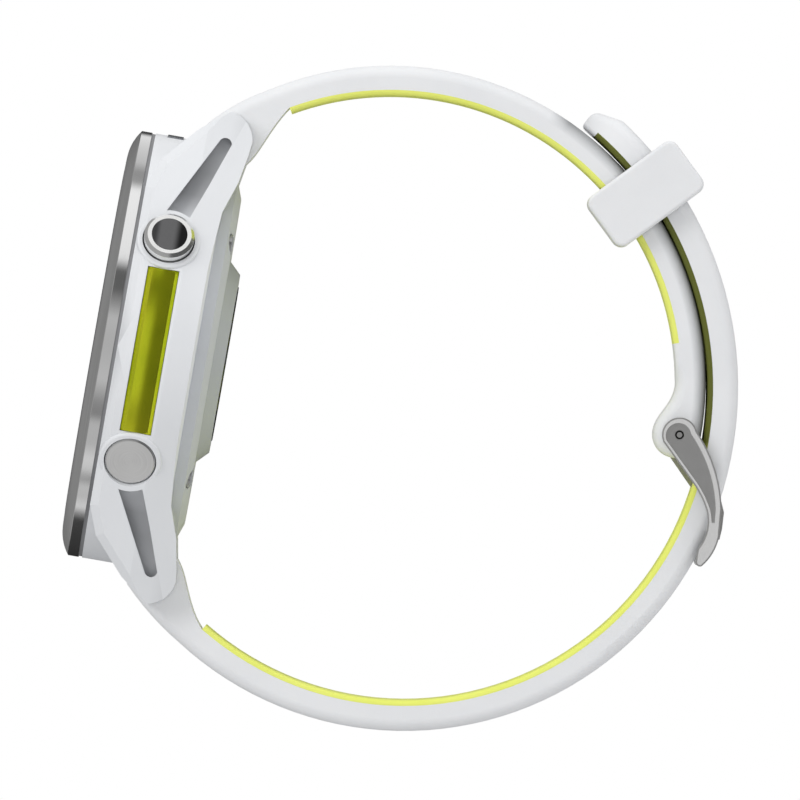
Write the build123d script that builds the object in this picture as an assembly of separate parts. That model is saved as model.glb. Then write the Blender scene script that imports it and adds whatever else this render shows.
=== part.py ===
"""A round sports watch on a buckled two-colour silicone band.

Frame: the origin is the centre of the optical sensor's window, the face that lies on the wrist.
+X points to 3 o'clock, +Y to 12 o'clock and +Z out of the display. Sizes are in millimetres and
angles in degrees. Angles in the YZ plane start at +Y and grow towards +Z.
"""

import os
from math import atan2, cos, degrees, hypot, radians, sin

from build123d import *

# ---------------------------------------------------------------- driving dimensions
CASE_R = 23.5           # the case's round body and the bezel
SEAM_Z = 11.8           # front of the case body
GASKET_T = 0.4
BEZEL_TOP_Z = 14.45
CASE_BACK_Z = 3.3       # back of the case body, where the rear cover sits
COVER_BACK_Z = 1.4      # back of the rear cover
LENS_R = 19.4

STRAP_W = 22.0          # at the lugs
LUG_GAP = STRAP_W + 0.3
BAR_Y, BAR_Z = 24.2, 4.3     # axis of each spring bar, mirrored in Y for the lower one
BAR_HOLE_R = 0.5
ROOT_R = 2.45           # rounded end of each strap, round its spring bar

UPPER_CY, UPPER_CZ = 1.2, -18.0    # centre of the upper strap's arc
UPPER_R = 34.4                     # its outer radius
UPPER_T = 3.25
LOWER_CY, LOWER_CZ = -0.5, -19.9   # centre of the lower strap's arc
LOWER_R = 36.05
LOWER_T = 3.35
TAIL_R = 39.6                      # outer radius once the lower strap lies on the upper one
LINER_T = 0.62                     # the coloured inner layer
EDGE_OUT_R, EDGE_IN_R = 1.2, 0.55  # rounding of a strap's long edges, outside and inside

PIN_Y, PIN_Z = 0.9, -50.05         # buckle pin
EYE_Z, EYE_R = -49.8, 2.6          # rounded end of the upper strap, round the buckle pin
PIN_R = 0.75
RUN = 0.05                         # radial running clearance on pins

BUTTON_ANGLES = {"start": 30, "back": -30, "light": 150, "up": 180, "down": 210}
BUTTON_Z = 8.3
RAIL_R = 24.3           # the raised side rails, round the case's axis
CAP_R = 2.75
CAP_FACE = {"start": 25.7, "back": 24.5, "light": 24.9, "up": 24.9, "down": 24.9}

KEEPER_ANGLE = -43.85   # where the keeper sits on the upper strap's arc
KEEPER_W = 6.65         # along the strap
KEEPER_IN_R, KEEPER_OUT_R = 28.65, 40.45

TIP_THROW = 1.2         # how far a spring bar's tip reaches into its lug

# ---------------------------------------------------------------- derived places
TAIL_SHIFT = TAIL_R - LOWER_R
TURN_ANGLE = 256.3      # where the lower strap's arc opens out into the tail's
TAIL_CY = LOWER_CY - TAIL_SHIFT * cos(radians(TURN_ANGLE))
TAIL_CZ = LOWER_CZ - TAIL_SHIFT * sin(radians(TURN_ANGLE))
TAIL_END = 331.4        # angle of the tail's tip, round the tail's centre
UPPER_IN_R = UPPER_R - UPPER_T
LOWER_IN_R = LOWER_R - LOWER_T
TAIL_IN_R = TAIL_R - LOWER_T


def at(cy, cz, radius, angle):
    """The YZ point at that radius and angle round (cy, cz)."""
    return (cy + radius * cos(radians(angle)), cz + radius * sin(radians(angle)))


def yz(outline, x0, x1):
    """A solid from a closed outline of lines and arcs in the YZ plane, between two X values."""
    face = make_face(Plane.YZ.offset(x0) * outline)
    return extrude(face, x1 - x0, dir=(1, 0, 0))


def arc_line(cy, cz, radius, start, end):
    """An arc round (cy, cz) from one angle to another, by three points."""
    points = [at(cy, cz, radius, a) for a in (start, (start + end) / 2, end)]
    return ThreePointArc(*points)


def ring(r_out, r_in, z0, z1):
    """A flat ring or disc round the Z axis."""
    solid = Pos(0, 0, (z0 + z1) / 2) * Cylinder(r_out, z1 - z0)
    if r_in:
        solid -= Pos(0, 0, (z0 + z1) / 2) * Cylinder(r_in, z1 - z0 + 1)
    return solid


def disc(x, y, radius, z0, z1):
    """A cylinder along Z at (x, y)."""
    return Pos(x, y, (z0 + z1) / 2) * Cylinder(radius, z1 - z0)


def block(x0, x1, y0, y1, z0, z1):
    """A box between two corners."""
    return Pos((x0 + x1) / 2, (y0 + y1) / 2, (z0 + z1) / 2) * Box(x1 - x0, y1 - y0, z1 - z0)


def rod_x(y, z, radius, x0, x1):
    """A cylinder along X."""
    return Pos((x0 + x1) / 2, y, z) * Rot(0, 90, 0) * Cylinder(radius, x1 - x0)


def spun(points):
    """A solid of revolution round Z from a closed (r, z) polygon."""
    face = make_face(Plane.XZ * Polyline(*points, close=True))
    return revolve(face, Axis.Z, 360)


def on_button(name, radius, d0, d1):
    """A cylinder on a button's axis, between two distances from the Z axis."""
    turn = Rot(0, 0, BUTTON_ANGLES[name]) * Pos((d0 + d1) / 2, 0, BUTTON_Z)
    return turn * Rot(0, 90, 0) * Cylinder(radius, d1 - d0)


# ---------------------------------------------------------------- case
LUG_FRONT = [(17.6, SEAM_Z), (20.8, 10.6), (24.7, 7.15), (27.15, 4.0)]
LUG_BACK = [(24.2, 1.2), (22.6, 1.4), (19.6, 1.95), (16.2, 3.1), (9.9, 3.55)]
CAVITY_R = 21.2
STRAP_BAY_Y = 21.1      # wall of the bay between the lugs
STRAP_BAY_Z = 7.2
FLANGE_R = 15.0         # opening of the case's back flange
FLANGE_Z = 4.8
SCREW_R = 18.0          # circle of the rear screws
LUG_TIP_X, LUG_TIP_Y = 14.6, 28.0    # where a rail's outer face ends, in plan
RAIL_WIDE_Z = 6.2       # a rail is widest here and in front
RAIL_TAPER = 14.0       # its lean behind that, in degrees
GUARD_R = 3.45          # raised ring round each button
GUARD_FACE = 24.45
CAP_WELL_R = CAP_R + 0.12
WELL_FLOOR = 22.6
STEM_BORE_R = 1.7
RAIL_TANGENT = 25.0     # where a side rail leaves the round for the lug


def lug_profile():
    """Side outline of the rails and the lugs at both ends."""
    upper = Polyline(*LUG_FRONT)
    tip = ThreePointArc(LUG_FRONT[-1], (26.4, 2.3), LUG_BACK[0])
    under = Polyline(*LUG_BACK)
    half = upper + tip + under
    other = mirror(half, about=Plane.YZ)
    front = Line((-LUG_FRONT[0][0], SEAM_Z), (LUG_FRONT[0][0], SEAM_Z))
    back = Line((-LUG_BACK[-1][0], LUG_BACK[-1][1]), (LUG_BACK[-1][0], LUG_BACK[-1][1]))
    return half + other + front + back


def rail_plan():
    """Plan of the right side rail, which tapers inwards behind its widest line."""
    y1 = RAIL_R * sin(radians(RAIL_TANGENT))
    x1 = RAIL_R * cos(radians(RAIL_TANGENT))
    inner = LUG_GAP / 2 - 3
    outline = ThreePointArc((x1, -y1), (RAIL_R, 0), (x1, y1))
    outline += Polyline((x1, y1), (LUG_TIP_X, LUG_TIP_Y), (inner, LUG_TIP_Y))
    outline += Polyline((inner, LUG_TIP_Y), (inner, -LUG_TIP_Y), (LUG_TIP_X, -LUG_TIP_Y), (x1, -y1))
    face = Pos(0, 0, RAIL_WIDE_Z) * make_face(outline)
    front = extrude(face, SEAM_Z + 1 - RAIL_WIDE_Z)
    return front + extrude(face, RAIL_WIDE_Z, dir=(0, 0, -1), taper=RAIL_TAPER)


def lug_pocket():
    """The tapering recess in one lug's outer face."""
    outline = Polyline((23.6, 3.35), (18.9, 4.98), (15.0, 6.45), (15.2, 9.15), (23.85, 4.7))
    outline += ThreePointArc((23.85, 4.7), (24.2, 3.85), (23.6, 3.35))
    pocket = yz(outline, 0, 30)
    y1 = RAIL_R * sin(radians(RAIL_TANGENT))
    x1 = RAIL_R * cos(radians(RAIL_TANGENT))
    turn = degrees(atan2(x1 - LUG_TIP_X, LUG_TIP_Y - y1))
    floor = Pos(x1, y1, 9.9) * Rot(0, 0, turn) * Rot(-23, 0, 0) * Pos(-1.9, 0, 0) * Rot(0, -5, 0)
    return pocket - floor * Pos(-15, 0, 0) * Box(30, 80, 40) - on_button("start", GUARD_R, 15, 30)


def make_case_body():
    """The moulded case: round body, side rails, four lugs, button guards and the strap bays."""
    body = spun([(0, CASE_BACK_Z), (21.6, CASE_BACK_Z), (CASE_R, 5.0), (CASE_R, SEAM_Z), (0, SEAM_Z)])
    rail = rail_plan() & extrude(make_face(Plane.YZ * lug_profile()), 30, dir=(1, 0, 0))
    long_edges = rail.edges().filter_by(lambda e: e.center().X > 12.5 and abs(e.tangent_at(0.5).X) < 0.75)
    front = long_edges.filter_by(lambda e: e.center().Z > 6.6 and e.length > 3)
    rail = chamfer(front, 0.9) - block(0, LUG_GAP / 2, -40, 40, -1, 20)
    body += rail + mirror(rail, about=Plane.YZ)
    for name in BUTTON_ANGLES:
        guard = on_button(name, GUARD_R, 21, GUARD_FACE)
        rims = guard.edges().filter_by(GeomType.CIRCLE)
        body += fillet([max(rims, key=lambda e: hypot(e.center().X, e.center().Y))], 0.3)
    cavity = ring(CAVITY_R, 0, FLANGE_Z, SEAM_Z)
    bay_wall = block(-12.6, 12.6, 19.4, 24, FLANGE_Z, 8.8)
    cavity -= bay_wall + mirror(bay_wall, about=Plane.XZ)
    for x, y in screw_places():
        cavity -= disc(x, y, 1.6, FLANGE_Z, 6.6)
    body -= cavity + ring(FLANGE_R, 0, 0, FLANGE_Z)
    bay = block(-LUG_GAP / 2, LUG_GAP / 2, STRAP_BAY_Y, 32, -5, BAR_Z)
    bay += rod_x(BAR_Y, BAR_Z, BAR_Y - STRAP_BAY_Y, -LUG_GAP / 2, LUG_GAP / 2)
    bay += block(-LUG_GAP / 2, LUG_GAP / 2, BAR_Y, 32, BAR_Z, BAR_Z + BAR_Y - STRAP_BAY_Y)
    body -= bay + mirror(bay, about=Plane.XZ)
    pockets = lug_pocket()
    pockets += mirror(pockets, about=Plane.XZ)
    body -= pockets + mirror(pockets, about=Plane.YZ)
    for name in BUTTON_ANGLES:
        body -= on_button(name, CAP_WELL_R, WELL_FLOOR, 30) + on_button(name, STEM_BORE_R, 19, 30)
    for end in (1, -1):
        hole = LUG_GAP / 2 + TIP_THROW + 0.15
        body -= rod_x(end * BAR_Y, BAR_Z, BAR_HOLE_R + RUN, -hole, hole)
    for x, y in screw_places():
        body -= disc(x, y, 0.7, 0, 5.7)
    body -= ring(COVER_R + 0.1, 0, 0, CASE_BACK_Z)
    body -= accent_shape(0.06) + torch_shape(0.05)
    return body


def screw_places():
    """Centres of the four rear screws."""
    return [(SCREW_R * cos(radians(a)), SCREW_R * sin(radians(a))) for a in (45, 135, 225, 315)]


def accent_shape(grow=0.0):
    """The bright bulged strip let into the right rail between the two buttons."""
    half = 9.0 + grow
    back_r, z0, z1 = 23.2 - grow, 6.6 - grow, 9.95 + grow
    if grow:
        strip = ring(24.6, back_r, z0, z1)
    else:
        section = Polyline((24.45, 9.4), (24.0, z1), (back_r, z1), (back_r, z0), (23.75, z0), (24.05, 6.95))
        section += ThreePointArc((24.05, 6.95), (24.4, 8.2), (24.45, 9.4))
        strip = revolve(make_face(Plane.XZ * section), Axis.Z, 360)
    strip &= block(15, 30, -half, half, 0, 20)
    for name in ("start", "back"):
        strip -= on_button(name, GUARD_R + 0.1 - grow, 15, 30)
    return strip


def torch_shape(grow=0.0):
    """The small lamp window in the case's 12 o'clock end."""
    window = block(-3.2 - grow, 3.2 + grow, 20.9, 25, 8.75 - grow, 10.45 + grow)
    return window & ring(CASE_R + 0.12, 0, 0, 20)


def make_bezel():
    """Turned metal bezel: straight side, crowned bevel and a narrow flat round the glass."""
    base = SEAM_Z + GASKET_T
    flat_r = 20.6
    section = Polyline((CASE_R, 13.35), (CASE_R, base), (LENS_R - 1.2, base), (LENS_R - 1.2, 13.2))
    section += Polyline((LENS_R - 1.2, 13.2), (LENS_R + 0.05, 13.2), (LENS_R + 0.05, BEZEL_TOP_Z))
    section += Line((LENS_R + 0.05, BEZEL_TOP_Z), (flat_r, BEZEL_TOP_Z))
    section += ThreePointArc((flat_r, BEZEL_TOP_Z), (22.25, 14.08), (CASE_R, 13.35))
    return revolve(make_face(Plane.XZ * section), Axis.Z, 360)


def make_front():
    """Bezel, its gasket, the glass and the display panel."""
    top = BEZEL_TOP_Z + 0.05
    lens = spun([(0, 13.2), (LENS_R, 13.2), (LENS_R, top - 0.2), (LENS_R - 0.2, top), (0, top)])
    return {
        "bezel": make_bezel(),
        "bezel_gasket": ring(CASE_R - 0.12, 19.6, SEAM_Z, SEAM_Z + GASKET_T),
        "lens": lens,
        "display_panel": ring(18.0, 0, 12.4, 13.2),
    }


# ---------------------------------------------------------------- back
SENSOR_R = 9.85         # flat of the sensor bump
SENSOR_BASE_R = 11.15
COVER_R = 19.8


def make_rear_cover():
    """Rear cover: a bevelled plate with the sensor's hole, screw seats and the charging recess."""
    edge = [(18.0, COVER_BACK_Z), (COVER_R, 2.05), (COVER_R, CASE_BACK_Z)]
    plate = spun([(0, COVER_BACK_Z), *edge, (0, CASE_BACK_Z)])
    plate -= ring(9.5, 0, 0, 5)
    plate -= ring(16.4, 15.6, CASE_BACK_Z - 0.5, CASE_BACK_Z + 1)
    for x, y in screw_places():
        plate -= disc(x, y, 1.35, 0, 2.3) + disc(x, y, 0.85, 0, 5)
    plate -= block(-4.1, 4.1, -14.9, -11.5, 0, 5)
    for angle in (248, 254, 260, 284):
        slit = Rot(0, 0, angle) * Pos(18.6, 0, 1.3) * Rot(0, -35, 0) * Box(1.6, 0.35, 2.2)
        plate -= slit
    return plate


def make_sensor():
    """The raised optical sensor: housing, window, board with its lamps and light detectors."""
    housing = spun([
        (8.7, 0.1), (SENSOR_R, 0.1), (SENSOR_BASE_R, COVER_BACK_Z), (9.45, COVER_BACK_Z),
        (9.45, CASE_BACK_Z), (8.7, CASE_BACK_Z),
    ])
    window = spun([(0, 0), (8.45, 0), (8.65, 0.2), (8.65, 0.8), (0, 0.8)])
    lamps = None
    for angle in range(0, 360, 60):
        chip = Rot(0, 0, angle) * Pos(5.2, 0, 1.4) * Box(1.6, 1.6, 0.9)
        lamps = chip if lamps is None else lamps + chip
    return {
        "sensor_housing": housing,
        "sensor_window": window,
        "sensor_detectors": lamps,
        "sensor_lamp": Pos(0, 0, 1.4) * Box(2.4, 2.4, 0.9),
        "sensor_board": ring(8.5, 0, 1.85, 2.45),
    }


def make_screws():
    """Four rear screws with six-lobed sockets."""
    screws = None
    for x, y in screw_places():
        one = disc(x, y, 1.25, 1.55, 2.3) + disc(x, y, 0.65, 2.3, 5.6)
        socket = disc(x, y, 0.38, 1.4, 2.0)
        for k in range(6):
            a = radians(60 * k)
            socket += disc(x + 0.42 * cos(a), y + 0.42 * sin(a), 0.16, 1.4, 2.0)
        one -= socket
        screws = one if screws is None else screws + one
    return screws


def make_charging():
    """Charging socket: an insulating insert with four contact pins."""
    insert = block(-4.1, 4.1, -14.9, -11.5, 1.7, 3.3)
    pins = None
    for k in range(4):
        x = -2.55 + 1.7 * k
        insert -= disc(x, -13.2, 0.55, 0, 5)
        pin = disc(x, -13.2, 0.55, 1.55, 4.2)
        pins = pin if pins is None else pins + pin
    return {"charge_socket": insert, "charge_pins": pins}


# ---------------------------------------------------------------- inside
def make_inside():
    """What the sealed case holds: chassis, boards, battery, motor, speaker, antenna and switches."""
    board = ring(17.7, 0, 9.5, 10.1)
    chips = block(-7, 1, -4, 5, 10.1, 11.1) + block(4, 9, -9, -3, 10.1, 10.9)
    chips += block(3, 8, 2, 9, 10.1, 11.0)
    chips += block(-12, -8.5, -6, 1, 10.1, 10.8)
    chassis = ring(17.9, 15.6, 8.9, 9.5) + block(-15.7, 15.7, -1, 1, 8.9, 9.5)
    switches = None
    for name in BUTTON_ANGLES:
        box = Rot(0, 0, BUTTON_ANGLES[name]) * Pos(18.9, 0, BUTTON_Z) * Box(1.4, 3.2, 1.1)
        box -= on_button(name, 0.4, 18.6, 20)
        switches = box if switches is None else switches + box
    motor_x, motor_y = -6.5, -9.5
    motor = disc(motor_x, motor_y, 4.6, 4.9, 7.9) - disc(motor_x, motor_y, 4.3, 5.2, 7.6)
    motor += disc(motor_x, motor_y, 0.4, 5.2, 7.6)
    rotor = disc(motor_x, motor_y, 4.0, 5.5, 7.3) - disc(motor_x, motor_y, 0.45, 5, 8)
    rotor -= block(motor_x, motor_x + 5, motor_y - 5, motor_y + 5, 5, 8) - disc(motor_x, motor_y, 1.4, 5, 8)
    speaker = disc(7.0, -9.5, 4.4, 4.9, 7.4)
    return {
        "main_board": board,
        "board_chips": chips,
        "chassis": chassis,
        "button_switches": switches,
        "battery": block(-10.8, 10.8, -3.2, 15.0, 4.9, 8.7),
        "vibration_motor": motor,
        "motor_weight": rotor,
        "speaker": speaker,
        "microphone": block(-1.5, 1.5, -12, -9.5, 4.9, 6.1),
        "antenna_ring": ring(20.9, 19.9, 10.9, 11.6),
        "torch_led": block(-2.6, 2.6, 19.6, 20.8, 8.9, 10.3),
        "rear_gasket": ring(16.35, 15.65, CASE_BACK_Z - 0.5, CASE_BACK_Z),
    }


# ---------------------------------------------------------------- buttons
CAP_BACK = 23.3
STEM_R = 1.1


def make_button(name):
    """One push button on its radial axis: cap with stem, seal ring and retaining clip."""
    face = CAP_FACE[name]
    cap = on_button(name, CAP_R, CAP_BACK, face)
    rims = cap.edges().filter_by(GeomType.CIRCLE)
    outer = max(rims, key=lambda e: hypot(e.center().X, e.center().Y))
    cap = chamfer([outer], 0.35 if name == "start" else 0.15)
    cap += on_button(name, STEM_R, 20.2, CAP_BACK) + on_button(name, 0.35, 19.45, 20.2)
    pieces = {
        f"{name}_button_seal": on_button(name, 1.65, 21.6, 22.3) - on_button(name, STEM_R + RUN, 21, 23),
        f"{name}_button_clip": on_button(name, 2.3, 20.5, 20.9) - on_button(name, STEM_R, 20, 21.5),
    }
    if name == "start":
        inlay_r, inlay_back = 1.95, face - 0.5
        cap -= on_button(name, inlay_r, inlay_back, face + 1)
        pieces["start_button_inlay"] = on_button(name, inlay_r, inlay_back, face + 0.05)
    pieces[f"{name}_button"] = cap
    return pieces


# ---------------------------------------------------------------- band
def sector(cy, cz, r_in, r_out, start, end, half):
    """A stretch of band between two radii and two angles, as wide as twice the half."""
    outline = arc_line(cy, cz, r_out, start, end) + arc_line(cy, cz, r_in, start, end)
    for angle in (start, end):
        outline += Line(at(cy, cz, r_in, angle), at(cy, cz, r_out, angle))
    return yz(outline, -half, half)


def root_outline(end, cy, cz, r_out, r_in, out_angle, in_angle):
    """Outline of a strap's thick end round its spring bar, from the outer arc to the inner layer."""
    outer = at(cy, cz, r_out, out_angle)
    top = (end * (BAR_Y + 1.3), BAR_Z + 2.05)
    shoulder = at(cy, cz, r_out + 0.12, out_angle + end * 6)
    side = (end * (BAR_Y - ROOT_R), BAR_Z)
    crown = (end * (BAR_Y - 1.0), BAR_Z + 2.24)
    heel = (end * 21.9, 1.45)
    outline = ThreePointArc(outer, shoulder, top) + ThreePointArc(top, crown, side) + Line(side, heel)
    under = [(end * y, z) for y, z in ((23.1, 0.68), (24.8, -0.08), (26.3, -0.75))]
    return outline + Spline(heel, *under, at(cy, cz, r_in + LINER_T, in_angle)) + Line(
        at(cy, cz, r_in + LINER_T, in_angle), at(cy, cz, r_in, in_angle))


def round_edges(strap, bands, radius):
    """Rounds the edges that run inside the given bands of radius and angle."""
    chosen = [edge for edge in strap.edges() if any(runs_inside(edge, band) for band in bands)]
    return fillet(chosen, radius)


def runs_inside(edge, band):
    """Whether an edge's middle lies in a band (cy, cz, low radius, high radius, start, end)."""
    cy, cz, low, high, start, end = band
    middle = edge.position_at(0.5)
    angle = (degrees(atan2(middle.Z - cz, middle.Y - cy)) - start) % 360
    return low < hypot(middle.Y - cy, middle.Z - cz) < high and angle < end - start and edge.length > 1.5


def lever_x(drawn):
    """Where a release lever's near side stands on its bar."""
    return 6.8 - drawn


def bar_room(end, drawn):
    """The space a strap leaves for its spring bar and the sliding lever."""
    room = rod_x(end * BAR_Y, BAR_Z, 0.9, -20, 20)
    left = lever_x(0) - 1.35 - 0.3
    return room + block(left, 8.3, end * BAR_Y - 0.8, end * BAR_Y + 0.8, -3, BAR_Z)


def slot_cut(cy, cz, radius, angle):
    """An oblong adjustment hole across a strap, at an angle of its arc."""
    slot = Box(2.2, 12, HOLE_L) + Pos(1.1, 0, 0) * Rot(90, 0, 0) * Cylinder(HOLE_L / 2, 12)
    slot += Pos(-1.1, 0, 0) * Rot(90, 0, 0) * Cylinder(HOLE_L / 2, 12)
    return Pos(0, cy, cz) * Rot(angle, 0, 0) * Pos(0, radius, 0) * slot


HOLE_L = 3.5            # adjustment hole, along the strap
HOLE_PITCH = 7.6
TONGUE_HOLE_ANGLE = 262.8
UPPER_ROOT_OUT, UPPER_ROOT_IN = 33.0, 30.0
LOWER_ROOT_OUT, LOWER_ROOT_IN = 147.0, 148.5
UPPER_LINER_END = -72.5
EYE_START = -79.4       # where the upper strap swells towards its eye
TIP_SLOPE, TIP_DROP = 4.5, 1.2      # stretch in degrees over which the tail thins, and by how much
TAIL_LINER_END = 328.6


def make_upper_strap():
    """The short strap: end block, arc, and the eye that holds the buckle pin."""
    half = STRAP_W / 2
    end_angle = degrees(atan2(EYE_Z - EYE_R - UPPER_CZ, PIN_Y - UPPER_CY))
    eye_end = at(UPPER_CY, UPPER_CZ, UPPER_R, end_angle)
    swell = at(UPPER_CY, UPPER_CZ, UPPER_IN_R, EYE_START)
    eye_top = (PIN_Y, EYE_Z + EYE_R)
    outline = arc_line(UPPER_CY, UPPER_CZ, UPPER_R, end_angle, UPPER_ROOT_OUT)
    outline += root_outline(1, UPPER_CY, UPPER_CZ, UPPER_R, UPPER_IN_R, UPPER_ROOT_OUT, UPPER_ROOT_IN)
    outline += arc_line(UPPER_CY, UPPER_CZ, UPPER_IN_R, UPPER_ROOT_IN, EYE_START)
    outline += Spline(swell, (5.2, -48.7), (4.4, -48.48), (2.6, -47.62), eye_top)
    outline += ThreePointArc(eye_top, (PIN_Y - EYE_R, EYE_Z), eye_end)
    strap = yz(outline, -half, half)
    outside = (UPPER_CY, UPPER_CZ, UPPER_R - 0.1, UPPER_R + 0.5, -89, 42)
    inside = (UPPER_CY, UPPER_CZ, UPPER_IN_R - 0.1, UPPER_IN_R + 0.1, EYE_START, UPPER_ROOT_IN - 1)
    strap = round_edges(strap, [outside], EDGE_OUT_R)
    strap = round_edges(strap, [inside], EDGE_IN_R)
    layer = sector(UPPER_CY, UPPER_CZ, 25, UPPER_IN_R + LINER_T, UPPER_LINER_END, UPPER_ROOT_IN, half + 1)
    liner = strap & layer
    strap -= layer + bar_room(1, 0) + rod_x(PIN_Y, PIN_Z, PIN_R + RUN, -20, 20)
    strap -= block(-1.3, 1.3, -4, 3.6, -54, -46)
    return {"upper_strap": strap, "upper_strap_liner": liner}


def make_lower_strap():
    """The long strap: end block, arc, and the tail that lies over the short strap."""
    half = STRAP_W / 2
    slope_start = at(TAIL_CY, TAIL_CZ, TAIL_R, TAIL_END - TIP_SLOPE)
    slope_end = at(TAIL_CY, TAIL_CZ, TAIL_R - TIP_DROP, TAIL_END)
    outline = root_outline(-1, LOWER_CY, LOWER_CZ, LOWER_R, LOWER_IN_R, LOWER_ROOT_OUT, LOWER_ROOT_IN)
    outline += arc_line(LOWER_CY, LOWER_CZ, LOWER_R, LOWER_ROOT_OUT, TURN_ANGLE)
    outline += arc_line(LOWER_CY, LOWER_CZ, LOWER_IN_R, LOWER_ROOT_IN, TURN_ANGLE)
    outline += arc_line(TAIL_CY, TAIL_CZ, TAIL_R, TURN_ANGLE, TAIL_END - TIP_SLOPE)
    outline += Line(slope_start, slope_end)
    outline += Line(slope_end, at(TAIL_CY, TAIL_CZ, TAIL_IN_R, TAIL_END))
    outline += arc_line(TAIL_CY, TAIL_CZ, TAIL_IN_R, TURN_ANGLE, TAIL_END)
    strap = yz(outline, -half, half)
    tip = at(TAIL_CY, TAIL_CZ, (TAIL_R + TAIL_IN_R - TIP_DROP) / 2, TAIL_END)
    corners = strap.edges().filter_by(lambda e: abs(abs(e.center().X) - half) < 0.01)
    corners = corners.filter_by(lambda e: hypot(e.center().Y - tip[0], e.center().Z - tip[1]) < 0.1)
    strap = fillet(corners, 6.0)
    outside = (LOWER_CY, LOWER_CZ, LOWER_R - 0.1, LOWER_R + 0.5, 138, TURN_ANGLE)
    tail_outside = (TAIL_CY, TAIL_CZ, TAIL_R - TIP_DROP - 0.1, TAIL_R + 0.1, TURN_ANGLE, TAIL_END + 1)
    strap = round_edges(strap, [outside, tail_outside], EDGE_OUT_R)
    inside = (LOWER_CY, LOWER_CZ, LOWER_IN_R - 0.1, LOWER_IN_R + 0.1, LOWER_ROOT_IN + 1, TURN_ANGLE)
    tail_inside = (TAIL_CY, TAIL_CZ, TAIL_IN_R - 0.1, TAIL_IN_R + 0.1, TURN_ANGLE, TAIL_END + 1)
    strap = round_edges(strap, [inside, tail_inside], EDGE_IN_R)
    radii = (LOWER_IN_R - 1, LOWER_IN_R + LINER_T)
    layer = sector(LOWER_CY, LOWER_CZ, *radii, LOWER_ROOT_IN, TURN_ANGLE, half + 1)
    radii = (TAIL_IN_R - 1, TAIL_IN_R + LINER_T)
    layer += sector(TAIL_CY, TAIL_CZ, *radii, TURN_ANGLE, TAIL_LINER_END, half + 1)
    liner = layer & strap
    strap -= layer
    for cut in adjustment_holes():
        strap -= cut
        liner -= cut
    strap -= bar_room(-1, 1.35)
    return {"lower_strap": strap, "lower_strap_liner": liner}


def adjustment_holes():
    """The row of holes: the tongue's own, four towards the tip and four towards the lug."""
    middle = TAIL_R - LOWER_T / 2
    step = degrees(HOLE_PITCH / middle)
    cuts = [slot_cut(TAIL_CY, TAIL_CZ, middle, TONGUE_HOLE_ANGLE + k * step) for k in (0, 1, 2, 5, 6)]
    middle = LOWER_R - LOWER_T / 2
    step = degrees(HOLE_PITCH / middle)
    cuts += [slot_cut(LOWER_CY, LOWER_CZ, middle, TONGUE_HOLE_ANGLE - k * step) for k in (1, 2, 3, 4, 5)]
    return cuts


# ---------------------------------------------------------------- spring bars
def make_spring_bar(label, end, drawn):
    """A quick-release bar: tube, fixed tip, and the tip that slides with its lever."""
    y = end * BAR_Y
    reach = LUG_GAP / 2 + TIP_THROW
    tube = rod_x(y, BAR_Z, 0.85, -10.6, 10.6) - rod_x(y, BAR_Z, 0.55, -8.5, 20)
    tube -= block(lever_x(0) - 1.6, 8.2, y - 0.45, y + 0.45, BAR_Z - 2, BAR_Z)
    fixed = rod_x(y, BAR_Z, 0.5, -(reach - drawn), -10.6)
    near = lever_x(drawn)
    sliding = rod_x(y, BAR_Z, 0.5, near, reach - drawn)
    sliding += block(near, near + 1.2, y - 0.38, y + 0.38, 0.7, BAR_Z)
    return {
        f"{label}_bar_tube": tube,
        f"{label}_bar_fixed_tip": fixed,
        f"{label}_bar_release": sliding,
    }


# ---------------------------------------------------------------- buckle and keeper
ARM_IN, ARM_OUT = 11.35, 13.1
TONGUE_HALF = 0.9
RIM_H = 0.22            # raised rim round each arm's outer face
RECESS_END = -7.9       # where the recess inside the rim stops, in Y


def make_frame():
    """The buckle's frame: two side arms, each with a raised rim, joined by the end bar."""
    outline = ThreePointArc((-0.15, -48.45), (2.79, -50.2), (1.6, -51.83))
    outline += ThreePointArc((1.6, -51.83), (-2.1, -54.5), (-6.26, -55.95))
    outline += Line((-6.26, -55.95), (-9.3, -56.2))
    outline += ThreePointArc((-9.3, -56.2), (-11.1, -55.85), (-12.75, -54.9))
    outline += ThreePointArc((-12.75, -54.9), (-12.8, -54.42), (-12.35, -54.15))
    outline += Line((-12.35, -54.15), (-11.0, -54.1))
    outline += ThreePointArc((-11.0, -54.1), (-8.9, -54.75), (-6.6, -54.3))
    outline += ThreePointArc((-6.6, -54.3), (-5.2, -53.42), (-4.0, -52.37))
    outline += Line((-4.0, -52.37), (-0.15, -48.45))
    arm = yz(outline, ARM_IN, ARM_OUT - RIM_H)
    face = make_face(Plane.YZ.offset(ARM_OUT) * outline)
    arm += extrude(offset(face, -0.16), RIM_H, dir=(-1, 0, 0))
    recess = Pos(0, -0.1, 0.1) * extrude(offset(face, -0.52), RIM_H, dir=(-1, 0, 0))
    arm -= recess & block(ARM_IN, ARM_OUT, RECESS_END, 5, -60, -40)
    arm -= rod_x(PIN_Y, PIN_Z, 0.5, 0, 20)
    arms = arm + mirror(arm, about=Plane.YZ)
    bar = [(-8.9, -55.35), (-9.2, -56.2), (-10.6, -56.0), (-12.7, -54.9), (-12.5, -54.35)]
    bar = yz(Polyline(*bar, close=True), -ARM_IN, ARM_IN)
    bar -= block(-TONGUE_HALF - 0.25, TONGUE_HALF + 0.25, -10.6, -8, -60, -55.65)
    return arms + bar


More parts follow.
